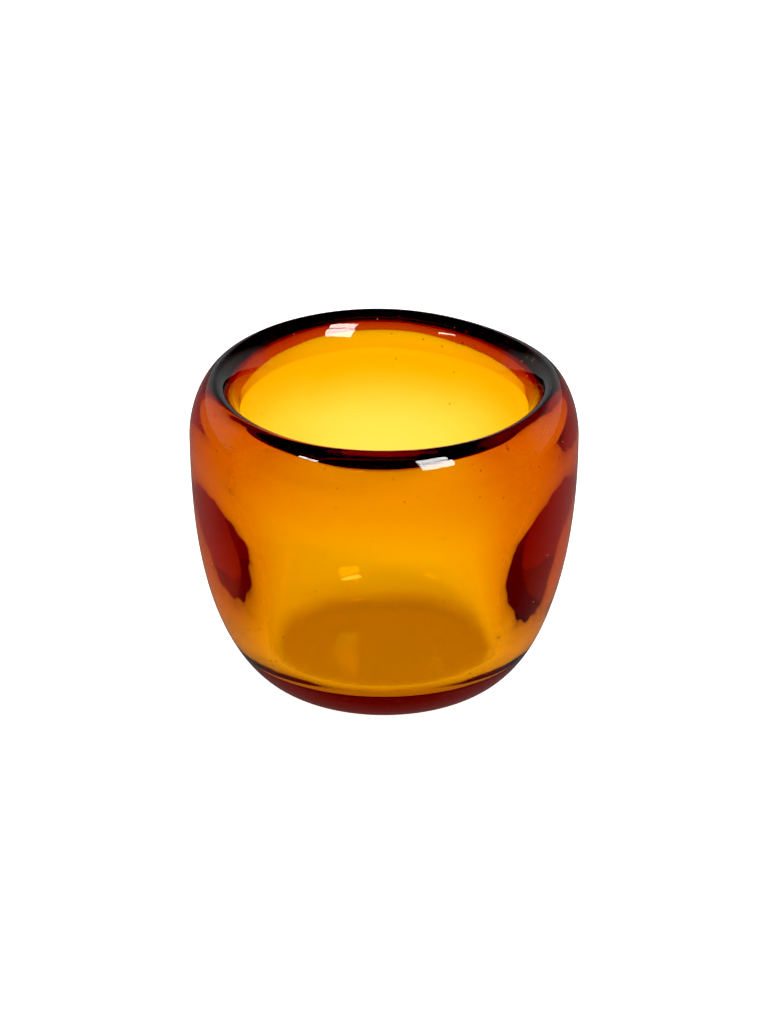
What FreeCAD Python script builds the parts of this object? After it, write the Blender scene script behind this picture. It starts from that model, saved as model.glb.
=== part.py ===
import FreeCAD, Part
import os
from FreeCAD import Vector

# Tealight holder: one thick-walled cup of solid amber glass, in millimetres.
# The origin is the centre of the underside, with +Z up the axis of the cup.

height = 73.0              # underside to the crest of the rim
widest_diameter = 90.0     # across the shoulder
widest_height = 59.0       # level of the widest ring
foot_diameter = 56.0       # flat ring of contact with the table
crest_diameter = 77.6      # top line of the rounded rim
throat_diameter = 66.0     # narrowest ring of the mouth, where the rim has rolled inward
throat_depth = 7.4         # below the crest
belly_diameter = 75.6      # widest ring of the cavity
belly_height = 44.0        # its level
base_thickness = 8.0       # solid glass between the cavity's floor and the table
floor_diameter = 52.0      # flat part of the cavity's floor

# How full each curve is: the fraction of its own reach that it keeps to a straight start or end.
heel_lift = 0.10           # the body leaves the foot flat and turns up within this part of its height
shoulder_hold = 0.54       # the shoulder stays upright for this part of its rise
shoulder_top = 0.36        # and lies level for this part of its run
quarter_round = 0.5523     # makes a cubic curve follow a quarter ellipse
neck_hold = 0.32           # the cavity stays upright for this part of its fall at the throat and belly
hollow_hold = 0.51         # below the belly it stays upright for this part of its fall
hollow_floor = 0.62        # and reaches the floor level for this part of its run

foot_radius = foot_diameter / 2
widest_radius = widest_diameter / 2
crest_radius = crest_diameter / 2
throat_radius = throat_diameter / 2
throat_height = height - throat_depth
belly_radius = belly_diameter / 2
floor_radius = floor_diameter / 2


def point(radius, level):
    """A point of the outline, drawn in the plane through the axis."""
    return Vector(radius, 0, level)


def line(start, end):
    return Part.LineSegment(point(*start), point(*end)).toShape()


def curve(start, start_handle, end_handle, end):
    """One cubic curve, which leaves and arrives along the lines to its two handles."""
    bezier = Part.BezierCurve()
    bezier.setPoles([point(*start), point(*start_handle), point(*end_handle), point(*end)])
    return bezier.toShape()


def bowl_outline():
    """Half the cup's section, walked from the axis out along the underside and back along the floor."""
    underside_centre = (0, 0)
    foot_edge = (foot_radius, 0)
    widest = (widest_radius, widest_height)
    crest = (crest_radius, height)
    throat = (throat_radius, throat_height)
    belly = (belly_radius, belly_height)
    floor_edge = (floor_radius, base_thickness)
    floor_centre = (0, base_thickness)

    heel_handle = (foot_radius, 0)
    body_handle = (widest_radius, heel_lift * widest_height)
    shoulder_rise = height - widest_height
    shoulder_run = widest_radius - crest_radius
    shoulder_handle = (widest_radius, widest_height + shoulder_hold * shoulder_rise)
    crest_handle = (crest_radius + shoulder_top * shoulder_run, height)
    lip_top_handle = (crest_radius - quarter_round * (crest_radius - throat_radius), height)
    lip_side_handle = (throat_radius, throat_height + quarter_round * throat_depth)
    neck_fall = throat_height - belly_height
    neck_handle = (throat_radius, throat_height - neck_hold * neck_fall)
    belly_top_handle = (belly_radius, belly_height + neck_hold * neck_fall)
    hollow_fall = belly_height - base_thickness
    hollow_run = belly_radius - floor_radius
    belly_handle = (belly_radius, belly_height - hollow_hold * hollow_fall)
    floor_handle = (floor_radius + hollow_floor * hollow_run, base_thickness)

    edges = [
        line(underside_centre, foot_edge),
        curve(foot_edge, heel_handle, body_handle, widest),
        curve(widest, shoulder_handle, crest_handle, crest),
        curve(crest, lip_top_handle, lip_side_handle, throat),
        curve(throat, neck_handle, belly_top_handle, belly),
        curve(belly, belly_handle, floor_handle, floor_edge),
        line(floor_edge, floor_centre),
        line(floor_centre, underside_centre),
    ]
    return Part.Wire(edges)


def glass_bowl():
    """The whole cup, turned about its axis from the half section."""
    section = Part.Face(bowl_outline())
    return section.revolve(Vector(0, 0, 0), Vector(0, 0, 1), 360)


parts = {"glass_bowl": glass_bowl()}

os.makedirs("parts", exist_ok=True)
for name, solid in parts.items():
    solid.exportStep("parts/" + name + ".step")
    box = solid.BoundBox
    print(name, "valid", solid.isValid(), "volume", round(solid.Volume), "mm3",
          "size", round(box.XLength, 2), round(box.YLength, 2), round(box.ZLength, 2))
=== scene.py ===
import math
import random

import bmesh
import bpy
from mathutils import Matrix, Vector, noise


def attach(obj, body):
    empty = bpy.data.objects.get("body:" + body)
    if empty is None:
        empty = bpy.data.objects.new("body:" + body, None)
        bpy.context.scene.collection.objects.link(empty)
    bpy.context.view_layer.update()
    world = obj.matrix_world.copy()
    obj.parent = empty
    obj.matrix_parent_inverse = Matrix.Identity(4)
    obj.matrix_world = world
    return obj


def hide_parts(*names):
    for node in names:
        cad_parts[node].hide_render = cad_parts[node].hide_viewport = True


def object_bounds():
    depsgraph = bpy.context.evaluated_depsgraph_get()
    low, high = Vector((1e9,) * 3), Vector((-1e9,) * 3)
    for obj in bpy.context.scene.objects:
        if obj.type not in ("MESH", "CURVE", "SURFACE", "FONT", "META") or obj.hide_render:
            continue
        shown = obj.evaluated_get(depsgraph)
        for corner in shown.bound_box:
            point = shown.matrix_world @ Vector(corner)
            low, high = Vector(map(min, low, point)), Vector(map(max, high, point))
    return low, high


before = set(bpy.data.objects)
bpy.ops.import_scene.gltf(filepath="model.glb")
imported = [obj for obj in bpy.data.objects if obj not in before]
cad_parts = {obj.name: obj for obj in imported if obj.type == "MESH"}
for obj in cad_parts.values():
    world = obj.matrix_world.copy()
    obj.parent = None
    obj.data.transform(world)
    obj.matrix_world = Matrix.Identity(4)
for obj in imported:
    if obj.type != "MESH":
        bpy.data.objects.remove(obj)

cad_low, cad_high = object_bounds()
collection = bpy.context.scene.collection

# ---------------------------------------------------------------- camera
# A long lens that looks down about 27 degrees at the cup's middle.
camera_distance = 1.08
camera_elevation = math.radians(26.6)
aim = Vector((0, 0, 0.0385))
camera_data = bpy.data.cameras.new("camera")
camera_data.lens = 163.0
camera_data.sensor_width = 36.0
camera_data.clip_end = 30.0
camera = bpy.data.objects.new("camera", camera_data)
collection.objects.link(camera)
toward_camera = Vector((0, -math.cos(camera_elevation), math.sin(camera_elevation)))
camera.location = aim + camera_distance * toward_camera
camera.rotation_euler = (-toward_camera).to_track_quat("-Z", "Y").to_euler()
bpy.context.scene.camera = camera

# ---------------------------------------------------------------- view settings and light paths
settings = bpy.context.scene.view_settings
settings.view_transform = "Standard"
settings.use_curve_mapping = True
settings.curve_mapping.black_level = (0.012, 0.012, 0.012)
settings.curve_mapping.white_level = (0.92, 0.92, 0.92)
settings.curve_mapping.update()
cycles = bpy.context.scene.cycles
cycles.max_bounces = 20
cycles.transmission_bounces = 20
cycles.glossy_bounces = 12
cycles.diffuse_bounces = 4
cycles.sample_clamp_indirect = 6.0
cycles.use_denoising = True

# ---------------------------------------------------------------- floor
# A plain white paper sweep, just under the foot. Rays that pass through the glass see it lit;
# rays mirrored off a surface see it dim, so that it lays no milky veil over the amber.
reflected_only = bpy.data.node_groups.new("reflected_only", "ShaderNodeTree")
reflected_only.interface.new_socket("Reflected", in_out="OUTPUT", socket_type="NodeSocketFloat")
paths = reflected_only.nodes.new("ShaderNodeLightPath")
mirrored = reflected_only.nodes.new("ShaderNodeMath")
mirrored.operation = "SUBTRACT"
mirrored.use_clamp = True
reflected_only.links.new(paths.outputs["Is Reflection Ray"], mirrored.inputs[0])
reflected_only.links.new(paths.outputs["Is Diffuse Ray"], mirrored.inputs[1])
ending = reflected_only.nodes.new("NodeGroupOutput")
reflected_only.links.new(mirrored.outputs[0], ending.inputs[0])

floor_material = bpy.data.materials.new("white_paper")
floor_material.use_nodes = True
nodes, links = floor_material.node_tree.nodes, floor_material.node_tree.links
paper = nodes["Principled BSDF"]
paper.inputs["Roughness"].default_value = 0.9
paper.inputs["Specular IOR Level"].default_value = 0.0
paper.inputs["Emission Color"].default_value = (1, 1, 1, 1)
paths = nodes.new("ShaderNodeLightPath")
glow = nodes.new("ShaderNodeMath")
glow.operation = "MULTIPLY_ADD"
glow.inputs[1].default_value = 0.3
glow.inputs[2].default_value = 0.52
links.new(paths.outputs["Is Camera Ray"], glow.inputs[0])
mirrored = nodes.new("ShaderNodeGroup")
mirrored.node_tree = reflected_only
dimmed = nodes.new("ShaderNodeMix")
dimmed.data_type = "FLOAT"
dimmed.inputs["B"].default_value = 0.08
links.new(mirrored.outputs[0], dimmed.inputs["Factor"])
links.new(glow.outputs[0], dimmed.inputs["A"])
links.new(dimmed.outputs["Result"], paper.inputs["Emission Strength"])
shade = nodes.new("ShaderNodeMix")
shade.data_type = "RGBA"
shade.inputs["A"].default_value = (0.85, 0.85, 0.85, 1)
shade.inputs["B"].default_value = (0.06, 0.06, 0.06, 1)
links.new(mirrored.outputs[0], shade.inputs["Factor"])
links.new(shade.outputs["Result"], paper.inputs["Base Color"])
mesh = bmesh.new()
bmesh.ops.create_grid(mesh, x_segments=1, y_segments=1, size=4.0)
floor_mesh = bpy.data.meshes.new("floor")
mesh.to_mesh(floor_mesh)
mesh.free()
floor_mesh.materials.append(floor_material)
floor = bpy.data.objects.new("floor", floor_mesh)
floor.location.z = cad_low.z - 0.0003
collection.objects.link(floor)

# ---------------------------------------------------------------- studio light
# Through the glass the surroundings are a bright tent, a little dimmer overhead. Mirrored rays
# see a darker room with a lit backdrop behind the cup. The camera sees plain white.
world = bpy.data.worlds.new("studio")
bpy.context.scene.world = world
world.use_nodes = True
nodes, links = world.node_tree.nodes, world.node_tree.links
background = nodes["Background"]
background.inputs["Color"].default_value = (1, 1, 1, 1)
direction = nodes.new("ShaderNodeTexCoord")
split = nodes.new("ShaderNodeSeparateXYZ")
links.new(direction.outputs["Generated"], split.inputs[0])
ramp = nodes.new("ShaderNodeMapRange")
ramp.inputs["From Min"].default_value = 0.35
ramp.inputs["From Max"].default_value = 0.60
ramp.inputs["To Max"].default_value = 0.08
links.new(split.outputs["Z"], ramp.inputs["Value"])
backdrop = nodes.new("ShaderNodeMapRange")
backdrop.inputs["From Min"].default_value = -0.05
backdrop.inputs["From Max"].default_value = 0.35
backdrop.inputs["To Min"].default_value = 0.06
backdrop.inputs["To Max"].default_value = 0.40
links.new(split.outputs["Y"], backdrop.inputs["Value"])
links.new(backdrop.outputs["Result"], ramp.inputs["To Min"])
paths = nodes.new("ShaderNodeLightPath")
mirrored = nodes.new("ShaderNodeGroup")
mirrored.node_tree = reflected_only
strength = nodes.new("ShaderNodeMix")
strength.data_type = "FLOAT"
links.new(mirrored.outputs[0], strength.inputs["Factor"])
around = nodes.new("ShaderNodeMapRange")
around.inputs["From Min"].default_value = 0.20
around.inputs["From Max"].default_value = 0.45
around.inputs["To Min"].default_value = 0.95
around.inputs["To Max"].default_value = 0.85
links.new(split.outputs["Z"], around.inputs["Value"])
links.new(around.outputs["Result"], strength.inputs["A"])
links.new(ramp.outputs["Result"], strength.inputs["B"])
seen = nodes.new("ShaderNodeMath")
seen.operation = "MAXIMUM"
links.new(strength.outputs["Result"], seen.inputs[0])
links.new(paths.outputs["Is Camera Ray"], seen.inputs[1])
links.new(seen.outputs[0], background.inputs["Strength"])

# Two stacked panes of one window at the front right, and a narrow strip at the left.
for name, place, width, height, power in (
    ("window_upper_pane", (0.58, -0.82, 1.08), 0.40, 0.20, 3.8),
    ("window_lower_pane", (0.58, -0.82, 0.76), 0.40, 0.24, 4.4),
    ("side_strip", (-0.93, -0.75, 0.97), 0.30, 0.08, 1.2),
):
    lamp = bpy.data.lights.new(name, "AREA")
    lamp.shape = "RECTANGLE"
    lamp.size = width
    lamp.size_y = height
    lamp.energy = power
    holder = bpy.data.objects.new(name, lamp)
    holder.location = place
    holder.rotation_euler = (aim - Vector(place)).to_track_quat("-Z", "Y").to_euler()
    holder.visible_camera = False
    collection.objects.link(holder)

# ---------------------------------------------------------------- glass bowl
# One thick cup of solid amber glass, blown and turned, with a rolled-in rim and a heavy base.
# Its skin is fire-polished: smooth, but never quite true.
outer_radius = (cad_high.x - cad_low.x) / 2
rim_height = cad_high.z - cad_low.z
throat_height = 0.0656
floor_height = 0.0080
straight_steps, curve_steps = 8, 48
outline = [Vector((0, 0, 0))]


def run_to(*handles):
    """Carries the outline on: one handle is a straight end, three are a cubic curve."""
    start = Vector((outline[-1].x, outline[-1].z))
    if len(handles) == 1:
        for i in range(1, straight_steps + 1):
            r, z = start.lerp(Vector(handles[0]), i / straight_steps)
            outline.append(Vector((r, 0, z)))
        return
    for i in range(1, curve_steps + 1):
        t = i / curve_steps
        weights = ((1 - t) ** 3, 3 * t * (1 - t) ** 2, 3 * t * t * (1 - t), t ** 3)
        r, z = sum((w * Vector(p) for w, p in zip(weights, (start, *handles))), Vector((0, 0)))
        outline.append(Vector((r, 0, z)))


run_to((0.0280, 0))
run_to((0.0280, 0), (outer_radius, 0.0059), (outer_radius, 0.0590))
run_to((outer_radius, 0.0665), (0.0410, rim_height), (0.0388, rim_height))
crest = len(outline)
run_to((0.0366, rim_height), (0.0345, 0.0692), (0.0330, throat_height))
run_to((0.0333, 0.0590), (0.0378, 0.0530), (0.0378, 0.0440))
run_to((0.0378, 0.0255), (0.0333, floor_height), (0.0260, floor_height))
run_to((0.0, floor_height))

mesh = bmesh.new()
inner_side = mesh.verts.layers.float.new("inner_side")
verts = [mesh.verts.new(p) for p in outline]
for v in verts[crest:]:
    v[inner_side] = 1
edges = [mesh.edges.new(pair) for pair in zip(verts, verts[1:])]
bmesh.ops.spin(mesh, geom=verts + edges, cent=(0, 0, 0), axis=(0, 0, 1),
               angle=2 * math.pi, steps=240, use_merge=True)
bmesh.ops.remove_doubles(mesh, verts=mesh.verts, dist=1e-6)
bmesh.ops.recalc_face_normals(mesh, faces=mesh.faces)

# The cavity was opened a little oval, so the wall is thicker on the left and right.
# Above it the rim sags a little at the back right, and all of it is a little uneven.
squeeze_left, squeeze_right = 0.115, 0.150
squeeze_reach = 0.0520
unevenness_outside, unevenness_inside = 0.00030, 0.00040
ripple_depth, ripple_rate = 0.000022, 1500
edge_waviness, edge_reach = 0.0006, 0.0030
axis_gap = 0.001
rim_sag, sag_start = 0.0011, 0.7
for v in mesh.verts:
    radius = math.hypot(v.co.x, v.co.y)
    if radius < axis_gap:
        continue
    inside = v[inner_side] > 0.5
    sideways = v.co.x / radius
    height = v.co.z / rim_height
    level = (v.co.z - floor_height) / squeeze_reach
    if inside and 0 < level < 1:
        squeeze = squeeze_right if sideways > 0 else squeeze_left
        v.co.x *= 1 - squeeze * math.sin(math.pi * level) * sideways ** 2
    swell = unevenness_outside * noise.noise(v.co * 30)
    if inside:
        swell = unevenness_inside * noise.noise(v.co * 45 + Vector((3, 7, 1))) * height
        ripple = math.sin(v.co.z * ripple_rate + 3 * noise.noise(v.co * 40))
        swell += ripple_depth * ripple * noise.noise(v.co * 60 + Vector((5, 0, 0)))
        edge = math.exp(-((v.co.z - throat_height) / edge_reach) ** 2)
        v.co.z += edge_waviness * edge * noise.noise(v.co * 55)
    above_foot = min(1, height * 4)
    v.co.x += v.co.x / radius * swell * above_foot
    v.co.y += v.co.y / radius * swell * above_foot
    back_right = max(0, (v.co.x + v.co.y) / radius / math.sqrt(2)) ** 6
    v.co.z -= rim_sag * back_right * max(0, height - sag_start) / (1 - sag_start)

for face in mesh.faces:
    face.smooth = True
glass_mesh = bpy.data.meshes.new("glass_bowl_blown")
mesh.to_mesh(glass_mesh)
mesh.free()
glass = bpy.data.objects.new("blown_glass_cup", glass_mesh)
collection.objects.link(glass)

glass_material = bpy.data.materials.new("amber_glass")
glass_material.use_nodes = True
nodes, links = glass_material.node_tree.nodes, glass_material.node_tree.links
skin = nodes["Principled BSDF"]
skin.inputs["Base Color"].default_value = (1, 1, 1, 1)
skin.inputs["Metallic"].default_value = 0.0
skin.inputs["IOR"].default_value = 1.52
skin.inputs["Transmission Weight"].default_value = 1.0
place = nodes.new("ShaderNodeTexCoord")
smears = nodes.new("ShaderNodeTexNoise")
smears.inputs["Scale"].default_value = 70.0
smears.inputs["Detail"].default_value = 4.0
links.new(place.outputs["Object"], smears.inputs["Vector"])
haze = nodes.new("ShaderNodeMapRange")
haze.inputs["From Min"].default_value = 0.55
haze.inputs["From Max"].default_value = 0.80
haze.inputs["To Min"].default_value = 0.0
haze.inputs["To Max"].default_value = 0.04
links.new(smears.outputs["Fac"], haze.inputs["Value"])
links.new(haze.outputs["Result"], skin.inputs["Roughness"])
skin_waves = nodes.new("ShaderNodeTexNoise")
skin_waves.inputs["Scale"].default_value = 110.0
skin_waves.inputs["Detail"].default_value = 1.0
links.new(place.outputs["Object"], skin_waves.inputs["Vector"])
relief = nodes.new("ShaderNodeBump")
relief.inputs["Strength"].default_value = 0.5
relief.inputs["Distance"].default_value = 0.00012
links.new(skin_waves.outputs["Fac"], relief.inputs["Height"])
links.new(relief.outputs["Normal"], skin.inputs["Normal"])
tint = nodes.new("ShaderNodeVolumeAbsorption")
tint.inputs["Color"].default_value = (0.930, 0.774, 0.0, 1)
tint.inputs["Density"].default_value = 430.0
links.new(tint.outputs[0], nodes["Material Output"].inputs["Volume"])
glass_mesh.materials.append(glass_material)
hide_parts("glass_bowl")
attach(glass, "root")

# ---------------------------------------------------------------- seed bubbles
# Fine air bubbles caught in the glass as it was gathered, scattered through the wall and the rim.
# Each is a tiny clear bead with a bright skin, well inside the glass.
random.seed(11)
bubble_count = 140
lowest_bubble, highest_bubble = 0.006, 0.070
outer_wall = [p for p in outline[:crest] if lowest_bubble < p.z < highest_bubble]
inner_wall = outline[crest:-straight_steps]
mesh = bmesh.new()
for _ in range(bubble_count):
    outer = random.choice(outer_wall)
    inner = min(inner_wall, key=lambda p: abs(p.z - outer.z))
    middle = inner.lerp(outer, random.uniform(0.50, 0.75))
    turn = random.uniform(0, 2 * math.pi)
    spot = Vector((middle.x * math.cos(turn), middle.x * math.sin(turn), middle.z))
    bmesh.ops.create_icosphere(mesh, subdivisions=1, radius=random.uniform(0.00012, 0.00030),
                               matrix=Matrix.Translation(spot))
for face in mesh.faces:
    face.smooth = True
bubble_mesh = bpy.data.meshes.new("seed_bubbles")
mesh.to_mesh(bubble_mesh)
mesh.free()
bubbles = bpy.data.objects.new("seed_bubbles", bubble_mesh)
collection.objects.link(bubbles)

bubble_material = bpy.data.materials.new("bubble_skin")
bubble_material.use_nodes = True
nodes, links = bubble_material.node_tree.nodes, bubble_material.node_tree.links
skin = nodes["Principled BSDF"]
skin.inputs["Base Color"].default_value = (1, 1, 1, 1)
skin.inputs["Metallic"].default_value = 0.0
skin.inputs["IOR"].default_value = 1.52
skin.inputs["Transmission Weight"].default_value = 1.0
place = nodes.new("ShaderNodeTexCoord")
film = nodes.new("ShaderNodeTexNoise")
film.inputs["Scale"].default_value = 900.0
links.new(place.outputs["Object"], film.inputs["Vector"])
gloss = nodes.new("ShaderNodeMapRange")
gloss.inputs["To Min"].default_value = 0.02
gloss.inputs["To Max"].default_value = 0.15
links.new(film.outputs["Fac"], gloss.inputs["Value"])
links.new(gloss.outputs["Result"], skin.inputs["Roughness"])
bubble_mesh.materials.append(bubble_material)
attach(bubbles, "root")
